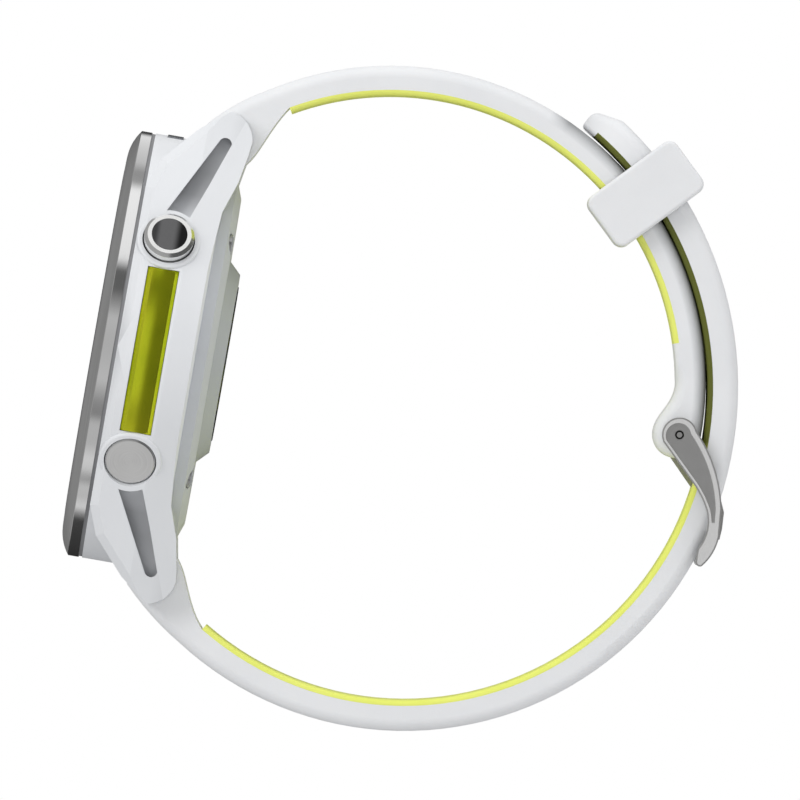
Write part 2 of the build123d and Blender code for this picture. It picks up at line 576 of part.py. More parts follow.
def make_tongue():
    """The tongue: a ring on the pin, a bent arm through the strap's hole and a tip on the end bar."""
    path = [
        (PIN_Y - 0.6, PIN_Z + 1.6), (-1.73, -49.6), (-4.43, -52.25), (-5.75, -55.3), (-6.4, -55.7),
        (-9.9, -55.74), (-9.6, -56.4), (-8.4, -56.48), (-6.6, -56.38), (-5.5, -55.9), (-3.6, -52.4),
        (PIN_Y, PIN_Z - 1.75),
    ]
    arm = yz(Polyline(*path, close=True), -TONGUE_HALF, TONGUE_HALF)
    arm += rod_x(PIN_Y, PIN_Z, 1.75, -TONGUE_HALF, TONGUE_HALF)
    return arm - rod_x(PIN_Y, PIN_Z, PIN_R + RUN, -3, 3)


def make_pin():
    """The buckle's spring bar: a tube with a thinner tip in each arm."""
    pin = rod_x(PIN_Y, PIN_Z, PIN_R, -11.1, 11.1) + rod_x(PIN_Y, PIN_Z, 0.45, -12.6, 12.6)
    return pin + rod_x(PIN_Y, PIN_Z, 0.34, -12.9, 12.9)


def make_keeper():
    """The free loop that holds the tail down on the short strap."""
    middle = (KEEPER_IN_R + KEEPER_OUT_R) / 2
    outer = Box(26.6, KEEPER_OUT_R - KEEPER_IN_R, KEEPER_W)
    outer = fillet(outer.edges().filter_by(Axis.X), 1.1)
    outer = fillet(outer.faces().filter_by(Axis.X).edges(), 0.4)
    room = Pos(0, (30.75 + 38.6) / 2 - middle, 0) * Box(22.7, 38.6 - 30.75, 20)
    loop = outer - room
    return Pos(0, UPPER_CY, UPPER_CZ) * Rot(KEEPER_ANGLE, 0, 0) * Pos(0, middle, 0) * loop


# ---------------------------------------------------------------- all pieces
def all_pieces():
    """Every sub-part by name."""
    pieces = {"case_body": make_case_body(), "accent_strip": accent_shape(), "torch_window": torch_shape()}
    pieces.update(make_front())
    pieces.update(make_sensor())
    pieces.update(make_charging())
    pieces.update(make_inside())
    pieces["rear_cover"] = make_rear_cover()
    pieces["rear_screws"] = make_screws()
    for name in BUTTON_ANGLES:
        pieces.update(make_button(name))
    pieces.update(make_upper_strap())
    pieces.update(make_lower_strap())
    pieces.update(make_spring_bar("upper", 1, 0.0))
    pieces.update(make_spring_bar("lower", -1, TIP_THROW + 0.2))
    pieces["buckle_frame"] = make_frame()
    pieces["buckle_tongue"] = make_tongue()
    pieces["buckle_pin"] = make_pin()
    pieces["keeper"] = make_keeper()
    return pieces


os.makedirs("parts", exist_ok=True)
for node, solid in all_pieces().items():
    export_step(solid, f"parts/{node}.step")
    print(node, round(solid.volume, 1), len(solid.solids()))
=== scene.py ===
# %% [markdown]
# # A sports watch on its buckled band
#
# The frame of the watch comes in as finished CAD pieces. This lesson gives every one of them a
# finish, adds the small pieces that the frame leaves out, and sets up the studio. All lengths
# are in metres: the watch is 47 mm across, so the sizes below carry the factor MM.

# %% Load the frame
import math

import bpy
from mathutils import Matrix, Vector


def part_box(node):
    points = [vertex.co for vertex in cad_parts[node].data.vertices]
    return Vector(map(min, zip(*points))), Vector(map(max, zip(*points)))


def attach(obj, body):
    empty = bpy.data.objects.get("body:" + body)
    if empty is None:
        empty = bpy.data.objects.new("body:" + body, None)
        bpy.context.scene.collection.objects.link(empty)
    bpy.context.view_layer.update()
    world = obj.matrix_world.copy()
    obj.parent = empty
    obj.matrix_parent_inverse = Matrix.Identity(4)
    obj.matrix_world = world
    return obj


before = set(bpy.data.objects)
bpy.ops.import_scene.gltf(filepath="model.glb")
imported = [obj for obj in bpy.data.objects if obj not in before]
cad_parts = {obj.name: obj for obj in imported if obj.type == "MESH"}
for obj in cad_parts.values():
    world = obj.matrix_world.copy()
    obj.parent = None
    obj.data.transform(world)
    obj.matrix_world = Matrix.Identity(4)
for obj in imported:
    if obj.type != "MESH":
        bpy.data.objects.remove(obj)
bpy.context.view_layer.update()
MM = 0.001

# %% [markdown]
# ## Writing shader maths as Python
#
# Each finish below is a small graph of nodes. Wiring Math nodes by hand hides the idea, so a
# Number wraps one output socket and turns + - * / into Math nodes. A Finish owns one material:
# its node method adds any other node from its type, its settings and its inputs.


# %% The shader helpers
class Number:
    """A socket that carries a number, for use in Python expressions."""

    def __init__(self, finish, socket):
        self.finish = finish
        self.socket = socket

    def math(self, operation, *others, clamp=False):
        node = self.finish.tree.nodes.new("ShaderNodeMath")
        node.operation = operation
        node.use_clamp = clamp
        for port, value in zip(node.inputs, (self, *others)):
            self.finish.put(port, value)
        return Number(self.finish, node.outputs[0])

    def reflected(self, operation, first):
        node = self.finish.tree.nodes.new("ShaderNodeMath")
        node.operation = operation
        self.finish.put(node.inputs[0], first)
        self.finish.put(node.inputs[1], self)
        return Number(self.finish, node.outputs[0])

    def __add__(self, other):
        return self.math("ADD", other)

    def __sub__(self, other):
        return self.math("SUBTRACT", other)

    def __mul__(self, other):
        return self.math("MULTIPLY", other)

    def __truediv__(self, other):
        return self.math("DIVIDE", other)

    def __rsub__(self, first):
        return self.reflected("SUBTRACT", first)

    def __rtruediv__(self, first):
        return self.reflected("DIVIDE", first)

    __radd__ = __add__
    __rmul__ = __mul__

    def clamped(self):
        return self.math("ADD", 0.0, clamp=True)

    def step(self, low, high):
        """0 below low, 1 above high, and a straight ramp between."""
        return ((self - low) / (high - low)).clamped()


class Finish:
    """One material: a Principled BSDF and the nodes that feed it."""

    def __init__(self, name, **constants):
        self.material = bpy.data.materials.new(name)
        self.material.use_nodes = True
        self.tree = self.material.node_tree
        self.shader = self.tree.nodes["Principled BSDF"]
        for port, value in constants.items():
            self.put(self.shader.inputs[port.replace("_", " ")], value)

    def put(self, port, value):
        """Sets a socket to a plain value, or links it to what a Number or a socket carries."""
        if isinstance(value, Number):
            value = value.socket
        if isinstance(value, bpy.types.NodeSocket):
            self.tree.links.new(value, port)
        elif isinstance(value, tuple) and len(value) == 3 and port.type == "RGBA":
            port.default_value = (*value, 1.0)
        else:
            port.default_value = value

    def node(self, kind, settings=None, **ports):
        """Adds a node by type, with its settings first and then its sockets."""
        node = self.tree.nodes.new("ShaderNode" + kind)
        for key, value in (settings or {}).items():
            setattr(node, key, value)
        for port, value in ports.items():
            self.put(node.inputs[port.replace("_", " ")], value)
        return node

    def place(self, scale=(1, 1, 1), turn=(0, 0, 0), centre=(0, 0, 0)):
        """Object coordinates in millimetres, centred, turned and stretched."""
        coordinates = self.node("TexCoord").outputs["Object"]
        moved = self.node("Mapping", {"vector_type": "TEXTURE"}, Vector=coordinates,
                          Location=tuple(centre), Rotation=tuple(turn), Scale=(MM, MM, MM))
        scaled = self.node("Mapping", Vector=moved.outputs[0], Scale=tuple(scale))
        return scaled.outputs[0]

    def axes(self, vector):
        """The three numbers of a vector."""
        parts = self.node("SeparateXYZ", Vector=vector).outputs
        return [Number(self, part) for part in parts]

    def noise(self, vector, scale, detail=2.0, roughness=0.5):
        node = self.node("TexNoise", Vector=vector, Scale=scale, Detail=detail, Roughness=roughness)
        return Number(self, node.outputs["Fac"])

    def blend(self, factor, first, second):
        """A colour between two colours."""
        node = self.node("Mix", {"data_type": "RGBA"}, Factor=factor)
        self.put(node.inputs[6], first)
        self.put(node.inputs[7], second)
        return node.outputs[2]

    def bump(self, height, distance, strength=1.0):
        return self.node("Bump", Height=height, Distance=distance * MM, Strength=strength).outputs[0]

    def drive(self, **ports):
        for port, value in ports.items():
            self.put(self.shader.inputs[port.replace("_", " ")], value)
        return self.material


def paint(finish, *nodes):
    """Gives CAD pieces a finish."""
    for name in nodes:
        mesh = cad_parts[name].data
        mesh.materials.clear()
        mesh.materials.append(finish)


# %% [markdown]
# ## Silicone
#
# The band is moulded silicone rubber in two colours. Its skin is satin: the mould was lightly
# blasted, which leaves a fine grain that can be felt more than seen, and the colour is almost
# even. A noise at 0.12 mm makes the grain and a slow one varies the shine, as handled rubber
# does. A little subsurface light keeps the white from looking like chalk.
#
# Where the two straps overlap, little light reaches the faces that look at each other. Two of the
# finishes paint that shade into their colour, darker by the distance from the short strap's arc centre.


# %% Silicone finishes
ARC_CENTRE = (0, 1.2 * MM, -18.0 * MM)      # centre of the short strap's arc


def crevice_painted_shade(finish, clear, full, strength):
    """Painted shade where the straps overlap: 0 at the radius clear, strength at the radius full.

    The stretch is whole from the buckle's pin to just past the tail's tip, and fades over 2 to
    4 mm at each end.
    """
    y, z = finish.axes(finish.place(centre=ARC_CENTRE))[1:]
    radius = (y * y + z * z).math("SQRT")
    stretch = (y + 2.0).step(-2.0, 1.5) * (0 - z - y * 0.40).step(-0.5, 2.0)
    return radius.step(clear, full) * stretch * strength


def silicone(name, colour, shade, crevice_shade=None):
    """Satin moulded rubber in one colour; the optional last argument is a painted shade, a darker colour
    where the two straps lie together.
    """
    finish = Finish(name, Subsurface_Weight=0.06, Subsurface_Scale=0.5 * MM, IOR=1.42)
    finish.shader.inputs["Subsurface Radius"].default_value = (1.0, 0.9, 0.8)
    where = finish.place()
    slow = finish.noise(where, 0.16, 3.0)
    grain = finish.noise(where, 7.5, 2.0, 0.6)
    handled = finish.noise(where, 0.55, 4.0, 0.6)
    skin = finish.blend(slow.step(0.35, 0.7), colour, shade)
    # Where the straps overlap, a painted shade: the colour is blended towards a darker one.
    if crevice_shade is not None:
        skin = finish.blend(crevice_painted_shade(finish, *crevice_shade[1:]), skin, crevice_shade[0])
    return finish.drive(
        Base_Color=skin,
        Roughness=0.40 + handled * 0.10 + grain * 0.06,
        Normal=finish.bump(grain, 0.012, 0.55),
    )


WHITE, WHITE_SHADE = (0.865, 0.872, 0.882), (0.84, 0.848, 0.86)
YELLOW, YELLOW_SHADE = (0.90, 0.95, 0.205), (0.86, 0.92, 0.17)
WHITE_RUBBER = silicone("white_silicone", WHITE, WHITE_SHADE)
# Painted shade where the straps overlap, for the short strap and for the tail's liner.
WHITE_CREVICE_SHADE = ((0.16, 0.165, 0.17), 33.0, 34.5, 0.85)         # colour, radii clear and full, strength
YELLOW_CREVICE_SHADE = ((0.055, 0.065, 0.004), 36.2, 35.2, 0.92)
SHORT_RUBBER = silicone("short_strap_painted_shade_silicone", WHITE, WHITE_SHADE, WHITE_CREVICE_SHADE)
YELLOW_RUBBER = silicone("yellow_silicone", YELLOW, YELLOW_SHADE)
TAIL_RUBBER = silicone("tail_painted_shade_silicone", YELLOW, YELLOW_SHADE, YELLOW_CREVICE_SHADE)
paint(WHITE_RUBBER, "lower_strap", "keeper")
paint(SHORT_RUBBER, "upper_strap")
paint(YELLOW_RUBBER, "upper_strap_liner")
paint(TAIL_RUBBER, "lower_strap_liner")
print("silicone", [m.name for m in (WHITE_RUBBER, SHORT_RUBBER, YELLOW_RUBBER, TAIL_RUBBER)])

# %% [markdown]
# ## Case polymer
#
# The case is fibre-filled nylon, moulded white. It is a touch cooler and shinier than the band,
# and its skin shows a very fine spark texture. The rear cover is the same polymer in a greyer
# batch with a coarser, duller texture where it lies on the skin. The floors of the pockets sunk
# in the lugs get a painted shade of grey, found by their depth under the sloping face and darkest
# half way along.


# %% Polymer finishes
LUG_PLANE, LUG_ACROSS, LUG_ALONG = 24.28, 0.9225, 0.386     # the lugs' sloping outer face


def lug_pocket_painted_shade(finish):
    """Painted shade: 1 on the floors of the pockets in the lugs, from their depth under the sloping outer
    face.
    """
    x, y, z = finish.axes(finish.place())
    side, end = x.math("ABSOLUTE"), y.math("ABSOLUTE")
    depth = LUG_PLANE - (side * LUG_ACROSS + end * LUG_ALONG)
    # Both edges lie a little outside the pocket's own sloping ones.
    upper = (9.6 - (end - 15.0) * 0.494 - z).step(0.0, 0.1)
    lower = (z - 6.3 + (end - 15.0) * 0.36).step(0.0, 0.1)
    along = 0.35 + end.step(14.5, 17.5) * 0.65 - end.step(20.0, 23.5) * 0.35
    return depth.step(0.6, 2.2) * upper * lower * side.step(12.9, 13.1) * along


def polymer(name, colour, shade, shine, grain_scale, grain_depth, pockets=None):
    """Moulded polymer with a spark-eroded texture; pockets, if given, is a painted shade on the lugs'
    pocket floors.
    """
    finish = Finish(name, IOR=1.5)
    where = finish.place()
    slow = finish.noise(where, 0.11, 2.0)
    spark = finish.noise(where, grain_scale, 3.0, 0.65)
    pits = finish.node("TexVoronoi", {"feature": "F1"}, Vector=where, Scale=grain_scale * 0.55)
    texture = spark * 0.6 + Number(finish, pits.outputs["Distance"]) * 0.4
    skin = finish.blend(slow.step(0.3, 0.7), colour, shade)
    # The lug pocket floors get a painted shade: a grey blended into the colour.
    if pockets is not None:
        skin = finish.blend(lug_pocket_painted_shade(finish), skin, pockets)
    return finish.drive(
        Base_Color=skin,
        Roughness=shine + spark * 0.10,
        Normal=finish.bump(texture, grain_depth, 0.5),
    )


# The painted shade on the floors of the lug pockets.
POCKET_PAINTED_SHADE = (0.33, 0.335, 0.345)
CASE_WHITE, CASE_SHADE = (0.85, 0.862, 0.88), (0.82, 0.835, 0.855)
CASE_POLYMER = polymer("case_polymer", CASE_WHITE, CASE_SHADE, 0.34, 6.0, 0.010, POCKET_PAINTED_SHADE)
COVER_POLYMER = polymer("cover_polymer", (0.66, 0.68, 0.71), (0.62, 0.64, 0.67), 0.46, 4.2, 0.018)
SENSOR_POLYMER = polymer("sensor_polymer", (0.52, 0.54, 0.57), (0.49, 0.51, 0.54), 0.30, 7.0, 0.006)
DARK_POLYMER = polymer("dark_polymer", (0.030, 0.031, 0.034), (0.024, 0.025, 0.028), 0.5, 5.0, 0.015)
GASKET_RUBBER = polymer("gasket_rubber", (0.27, 0.272, 0.28), (0.23, 0.232, 0.24), 0.5, 8.0, 0.01)
SEAL_RUBBER = polymer("seal_rubber", (0.085, 0.088, 0.095), (0.07, 0.073, 0.08), 0.6, 8.0, 0.01)
paint(CASE_POLYMER, "case_body")
paint(COVER_POLYMER, "rear_cover")
paint(SENSOR_POLYMER, "sensor_housing")
paint(DARK_POLYMER, "charge_socket", "chassis", "speaker", "microphone", "button_switches", "board_chips")
paint(GASKET_RUBBER, "bezel_gasket")
paint(SEAL_RUBBER, "rear_gasket")
paint(SEAL_RUBBER, *[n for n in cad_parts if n.endswith("_seal")])
print("polymers on", len([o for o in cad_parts.values() if o.data.materials]))

# %% [markdown]
# ## Turned and brushed metal
#
# The bezel is turned on a lathe, so its brushing runs round the Z axis. In a shader that is
# noise read at (radius, height) with almost nothing read along the turn: fine lines that go all
# the way round. The straight side was polished afterwards, so the lines fade out there and the
# roughness drops.


# %% Bezel
def turned_metal():
    """Circular brushing that fades out on the polished side."""
    finish = Finish("turned_bezel", Metallic=1.0, Anisotropic=0.55)
    x, y, z = finish.axes(finish.place())
    radius = (x * x + y * y).math("SQRT")
    along = finish.node("CombineXYZ")
    finish.put(along.inputs[0], radius * 14.0)
    finish.put(along.inputs[1], z * 14.0)
    finish.put(along.inputs[2], y.math("ARCTAN2", x) * 1.3)
    lines = finish.noise(along.outputs[0], 1.0, 4.0, 0.7)
    brushed = 1 - radius.step(23.38, 23.46)
    tone = finish.blend(lines.step(0.3, 0.72), (0.50, 0.50, 0.50), (0.70, 0.70, 0.69))
    scuff = finish.noise(finish.place(), 0.5, 5.0, 0.6).step(0.55, 0.8)
    return finish.drive(
        Base_Color=finish.blend(brushed, (0.88, 0.88, 0.88), tone),
        Roughness=0.09 + brushed * (0.20 + lines * 0.10) + scuff * 0.05,
        Normal=finish.bump(lines * brushed, 0.010, 0.6),
    )


BEZEL_METAL = turned_metal()
paint(BEZEL_METAL, "bezel")
print("bezel", BEZEL_METAL.name)

# %% [markdown]
# ## Small metal parts
#
# The buckle, its tongue and the spring bars are stamped or turned steel with a straight brushed
# grain: noise stretched along the band's length. Screws, clips and the start button's cap are
# polished, with a few fine marks.


# %% Straight-brushed and polished steel
def straight_steel(name, stretch, colour=(0.56, 0.555, 0.545), dark=(0.40, 0.398, 0.39)):
    """Brushed steel; the grain runs along the axis with the smallest stretch."""
    finish = Finish(name, Metallic=1.0, Anisotropic=0.5)
    lines = finish.noise(finish.place(stretch), 1.0, 4.0, 0.7)
    wear = finish.noise(finish.place(), 0.9, 4.0, 0.55).step(0.45, 0.75)
    return finish.drive(
        Base_Color=finish.blend(lines.step(0.3, 0.7), dark, colour),
        Roughness=0.26 + lines * 0.12 + wear * 0.06,
        Normal=finish.bump(lines, 0.008, 0.6),
    )


def polished_steel(name, colour=(0.78, 0.78, 0.77), shine=0.07):
    """Polished steel with faint wiping marks."""
    finish = Finish(name, Metallic=1.0)
    marks = finish.noise(finish.place((3.0, 3.0, 26.0), turn=(0.3, 0.4, 0.0)), 1.0, 5.0, 0.7)
    cloud = finish.noise(finish.place(), 0.7, 3.0)
    return finish.drive(
        Base_Color=finish.blend(cloud.step(0.3, 0.7), colour, tuple(c * 0.93 for c in colour)),
        Roughness=shine + marks.step(0.5, 0.8) * 0.08 + cloud * 0.04,
        Normal=finish.bump(marks, 0.003, 0.4),
    )


def blasted_buckle():
    """Fine-blasted recesses between polished rims, told apart by how far out they lie."""
    finish = Finish("buckle_steel", Anisotropic=0.3)
    out = finish.axes(finish.place())[0].math("ABSOLUTE")
    recess = (1 - out.step(RECESS_X + 0.02, RECESS_X + 0.08)) * out.step(12.4, 12.5)
    grain = finish.noise(finish.place((16.0, 16.0, 16.0)), 1.0, 3.0, 0.6)
    lines = finish.noise(finish.place((22.0, 1.6, 22.0)), 1.0, 4.0, 0.7)
    wear = finish.noise(finish.place(), 0.9, 4.0, 0.55).step(0.45, 0.75)
    flat = finish.blend(grain.step(0.3, 0.7), (0.62, 0.617, 0.61), (0.70, 0.697, 0.69))
    rim = finish.blend(lines.step(0.3, 0.7), (0.74, 0.738, 0.73), (0.82, 0.818, 0.81))
    return finish.drive(
        Base_Color=finish.blend(recess, rim, flat),
        Metallic=0.45 + recess * 0.55,
        Roughness=0.16 + recess * 0.22 + grain * 0.06 + wear * 0.05,
        Normal=finish.bump(grain * recess + lines * 0.3, 0.010, 0.6),
    )


def stepped_pin():
    """The buckle's pin, bright at its very ends and dark where its thin tips shadow the bore."""
    finish = Finish("pin_steel", Metallic=1.0)
    x, y, z = finish.axes(finish.place(centre=(0, PIN_Y * MM, PIN_Z * MM)))
    radius = (y * y + z * z).math("SQRT")
    ring = radius.step(0.28, 0.33) * x.math("ABSOLUTE").step(12.2, 12.3)
    lines = finish.noise(finish.place((1.0, 24.0, 24.0)), 1.0, 4.0, 0.7)
    bright = finish.blend(lines.step(0.3, 0.7), (0.46, 0.458, 0.45), (0.62, 0.617, 0.61))
    return finish.drive(
        Base_Color=finish.blend(ring, bright, (0.03, 0.03, 0.03)),
        Roughness=0.24 + lines * 0.10 + ring * 0.3,
        Normal=finish.bump(lines, 0.006, 0.5),
    )


PIN_Y, PIN_Z = 0.9, -50.05      # the buckle pin's axis
RECESS_X = 12.88        # the recess floor's distance from the watch's middle
BUCKLE_STEEL = blasted_buckle()
TONGUE_STEEL = straight_steel("tongue_steel", (22.0, 1.6, 22.0))
BAR_STEEL = straight_steel("bar_steel", (1.0, 24.0, 24.0))
POLISHED_STEEL = polished_steel("polished_steel", (0.96, 0.96, 0.95), 0.16)
SCREW_STEEL = polished_steel("screw_steel", (0.48, 0.48, 0.48), 0.22)
paint(BUCKLE_STEEL, "buckle_frame")
paint(TONGUE_STEEL, "buckle_tongue")
paint(stepped_pin(), "buckle_pin")
paint(BAR_STEEL, *[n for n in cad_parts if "_bar_" in n])
paint(POLISHED_STEEL, "start_button")
paint(SCREW_STEEL, "rear_screws", "vibration_motor", "motor_weight")
paint(SCREW_STEEL, *[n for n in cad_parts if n.endswith("_clip")])
print("buckle", BUCKLE_STEEL.name, TONGUE_STEEL.name, BAR_STEEL.name)

# %% [markdown]
# ## Button caps
#
# Four of the five caps are faced on a lathe: their brushing runs in circles round each button's
# own axis. A painted sheen brightens the tone in two lobes with the angle round that axis, where a
# turned disc reflects more light. The Mapping node turns the coordinates so that X runs along that
# axis, and the radius round it drives the lines.


# %% Turned caps
BUTTON_ANGLES = {"start": 30, "back": -30, "light": 150, "up": 180, "down": 210}
BUTTON_HEIGHT = 8.3     # of every button's axis


def turned_cap(button):
    """A faced disc: rings of brushing round the button's axis."""
    finish = Finish(button + "_cap", Metallic=1.0, Anisotropic=0.6)
    turn = math.radians(BUTTON_ANGLES[button])
    centred = finish.place(turn=(0, 0, turn), centre=(0, 0, BUTTON_HEIGHT * MM))
    across, up = finish.axes(centred)[1:]
    radius = (across * across + up * up).math("SQRT")
    angle = up.math("ARCTAN2", across)
    rings = finish.node("CombineXYZ")
    finish.put(rings.inputs[0], radius * 16.0)
    finish.put(rings.inputs[1], angle * 0.35)
    lines = finish.noise(rings.outputs[0], 1.0, 4.0, 0.7)
    # Painted sheen: the colour brightens in two lobes with the angle round the button's axis.
    painted_sheen_fan = ((angle * 2.0 + 0.7).math("SINE") + 1) * 0.5
    fine = finish.blend(lines.step(0.3, 0.7), (0.80, 0.797, 0.79), (0.97, 0.967, 0.96))
    return finish.drive(
        Base_Color=finish.blend(painted_sheen_fan * 0.35, fine, (0.96, 0.96, 0.95)),
        Roughness=0.24 + lines * 0.12,
        Normal=finish.bump(lines, 0.010, 0.7),
    )


for button in BUTTON_ANGLES:
    if button != "start":
        paint(turned_cap(button), button + "_button")


def gloss(name, colour, roughness=0.05):
    """Polished dark plastic or glass, with faint dust in its shine."""
    finish = Finish(name, IOR=1.52, Coat_Weight=0.4, Coat_Roughness=0.03)
    dust = finish.noise(finish.place(), 2.2, 5.0, 0.65).step(0.5, 0.85)
    tint = finish.noise(finish.place(), 0.2, 2.0)
    return finish.drive(
        Base_Color=finish.blend(tint, colour, tuple(c * 1.25 for c in colour)),
        Roughness=roughness + dust * 0.05,
        Normal=finish.bump(dust, 0.001, 0.2),
    )


def domed_chrome():
    """Black chrome, crowned from front to back so that it mirrors a tall stretch of the room."""
    finish = Finish("dark_chrome", Metallic=1.0)
    turn = math.radians(BUTTON_ANGLES["start"])
    up = finish.axes(finish.place(turn=(0, 0, turn), centre=(0, 0, BUTTON_HEIGHT * MM)))[2]
    dome = up * up * -DOME_CURVE
    marks = finish.noise(finish.place((3.0, 3.0, 20.0), turn=(0.2, 0.5, 0.0)), 1.0, 4.0, 0.7)
    return finish.drive(
        Base_Color=finish.blend(marks.step(0.4, 0.7), (0.155, 0.155, 0.158), (0.14, 0.14, 0.143)),
        Roughness=0.05 + marks.step(0.55, 0.8) * 0.05,
        Normal=finish.bump(dome, 1.0),
    )


DOME_CURVE = 0.08       # fall of the crown in mm per square mm
BLACK_GLOSS = gloss("black_gloss", (0.006, 0.006, 0.007))
LENS_GLASS = gloss("lens_glass", (0.008, 0.009, 0.011), 0.03)
TORCH_GLASS = gloss("torch_glass", (0.20, 0.21, 0.225), 0.12)
paint(domed_chrome(), "start_button_inlay")
paint(BLACK_GLOSS, "display_panel")
paint(LENS_GLASS, "lens", "sensor_window")
paint(TORCH_GLASS, "torch_window")

# %% [markdown]
# ## Accent strip
#
# The strip between the two right-hand buttons is metal with a clear yellow-green lacquer: the
# colour tints the reflections, so it is a Metallic shader with a coat, not a painted one. Its
# front edge and its lower end carry a painted highlight, a brighter green.


# %% Accent strip
def lacquered_metal():
    """Bright metal under a clear tinted lacquer."""
    finish = Finish("lacquered_accent", Metallic=0.92, Coat_Weight=0.35, Coat_Roughness=0.12)
    lines = finish.noise(finish.place((14.0, 1.2, 14.0)), 1.0, 4.0, 0.65)
    cloud = finish.noise(finish.place(), 0.35, 2.0)
    y, z = finish.axes(finish.place())[1:]
    deep = finish.blend(cloud.step(0.35, 0.65), (0.84, 0.93, 0.020), (0.74, 0.84, 0.016))
    # Painted highlight: the front edge and the lower end get a brighter green, as if lit.
    front = z.step(8.9, 9.5) * (y + 6.0).step(2.0, 10.0)
    lower_end_highlight = (-2.0 - y).step(1.0, 6.5)
    painted_highlight = (front + lower_end_highlight).clamped()
    green = finish.blend(painted_highlight, deep, (0.97, 1.0, 0.030))
    return finish.drive(
        Base_Color=finish.blend(lines.step(0.4, 0.8) * 0.3, green, (0.46, 0.51, 0.02)),
        Roughness=0.17 + lines * 0.08,
        Normal=finish.bump(lines, 0.004, 0.4),
    )


ACCENT_METAL = lacquered_metal()
paint(ACCENT_METAL, "accent_strip")
print("accent", ACCENT_METAL.name)

# %% [markdown]
# ## Inner parts
#
# The boards, the battery and the contacts are mostly sealed in. They could be left plain, but
# each is its own piece, so it has a simple finish: a colour that a noise mottles slightly.


# %% Inner parts
def inner(name, colour, metal=0.0, roughness=0.5):
    """Boards, foil and contacts, most of them sealed in."""
    finish = Finish(name, Metallic=metal)
    spots = finish.noise(finish.place(), 1.6, 4.0, 0.6)
    return finish.drive(
        Base_Color=finish.blend(spots.step(0.35, 0.65), colour, tuple(c * 0.8 for c in colour)),
        Roughness=roughness + spots * 0.1,
        Normal=finish.bump(spots, 0.01, 0.4),
    )


paint(inner("green_board", (0.010, 0.060, 0.032)), "main_board", "sensor_board")
paint(inner("battery_foil", (0.55, 0.56, 0.57), 0.8, 0.3), "battery")
paint(inner("gold_contact", (0.83, 0.62, 0.26), 1.0, 0.22), "charge_pins", "antenna_ring")
paint(inner("sensor_parts", (0.05, 0.14, 0.06), 0.0, 0.3), "sensor_detectors", "sensor_lamp", "torch_led")
print("unpainted", [name for name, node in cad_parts.items() if not node.data.materials])

# %% [markdown]
# ## Modelling the small pieces
#
# The printed and inlaid details are too thin for the frame, so they are modelled here by hand:
# a primitive at its size and place, shaped in edit mode. Operators act on whatever is selected,
# and the loaded frame arrives selected, so each piece starts from an empty selection, and faces
# or edges are picked in code by the way they face.


# %% Modelling helpers
def alone():
    """Leaves nothing selected, in object mode."""
    if bpy.context.object is not None and bpy.context.object.mode != "OBJECT":
        bpy.ops.object.mode_set(mode="OBJECT")
    bpy.ops.object.select_all(action="DESELECT")


def settle(name):
    """Names the new primitive and applies its place and size to its mesh."""
    piece = bpy.context.object
    piece.name = piece.data.name = name
    bpy.ops.object.transform_apply(location=True, rotation=True, scale=True)
    return piece


def pick_faces(piece, wanted):
    """Enters edit mode with only the wanted faces selected."""
    bpy.ops.object.mode_set(mode="EDIT")
    bpy.ops.mesh.select_mode(type="FACE")
    bpy.ops.mesh.select_all(action="DESELECT")
    bpy.ops.object.mode_set(mode="OBJECT")
    for face in piece.data.polygons:
        face.select = wanted(face)
    bpy.ops.object.mode_set(mode="EDIT")


def pick_edges(piece, wanted):
    """Enters edit mode with only the wanted edges selected; wanted reads their two ends."""
    bpy.ops.object.mode_set(mode="EDIT")
    bpy.ops.mesh.select_mode(type="EDGE")
    bpy.ops.mesh.select_all(action="DESELECT")
    bpy.ops.object.mode_set(mode="OBJECT")
    points = piece.data.vertices
    for edge in piece.data.edges:
        first, second = (points[i].co for i in edge.vertices)
        edge.select = wanted(first, second)
    bpy.ops.object.mode_set(mode="EDIT")


def ring_of(piece, angles, name):
    """Copies a piece round Z, each copy with its own mesh, and joins them into one object."""
    copies = []
    for angle in angles:
        copy = piece.copy()
        copy.data = piece.data.copy()
        copy.data.transform(Matrix.Rotation(angle, 4, "Z"))
        bpy.context.collection.objects.link(copy)
        copies.append(copy)
    bpy.data.objects.remove(piece)
    alone()
    for copy in copies:
        copy.select_set(True)
    bpy.context.view_layer.objects.active = copies[0]
    bpy.ops.object.join()
    joined = bpy.context.object
    joined.name = joined.data.name = name
    print(name, len(copies), "copies", len(joined.data.polygons), "faces")
    return joined


# %% [markdown]
# ## Minute track
#
# A track of sixty marks runs round the glass, with a longer, wider one at each hour. It is
# enamel ink, hardly thicker than paint: one mark starts as a flat block, its corners are rounded
# with a bevel, its top is inset and pushed up into a low crown, and the rest are copies.


# %% Minute track
LENS_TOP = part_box("lens")[1][2]
TRACK_RADIUS = 17.9 * MM
INK = 0.012 * MM


def mark(name, length, width):
    """One raised mark of the track, at 3 o'clock, with its outer end on the track's radius."""
    alone()
    middle = (TRACK_RADIUS - length / 2, 0, LENS_TOP)
    bpy.ops.mesh.primitive_cube_add(size=1, location=middle, scale=(length, width, INK))
    piece = settle(name)
    pick_edges(piece, lambda a, b: abs(a.z - b.z) > INK * 0.5)
    bpy.ops.mesh.bevel(offset=width * 0.32, segments=3, affect="EDGES")
    bpy.ops.object.mode_set(mode="OBJECT")
    pick_faces(piece, lambda face: face.normal.z > 0.9)
    bpy.ops.mesh.inset(thickness=width * 0.12)
    bpy.ops.transform.translate(value=(0, 0, INK * 0.4))
    bpy.ops.object.mode_set(mode="OBJECT")
    return piece


minutes = [math.radians(6 * k) for k in range(60) if k % 5]
hours = [math.radians(30 * k) for k in range(12)]
minute_marks = ring_of(mark("minute_mark", 0.8 * MM, 0.16 * MM), minutes, "minute_marks")
hour_marks = ring_of(mark("hour_mark", 1.9 * MM, 0.42 * MM), hours, "hour_marks")


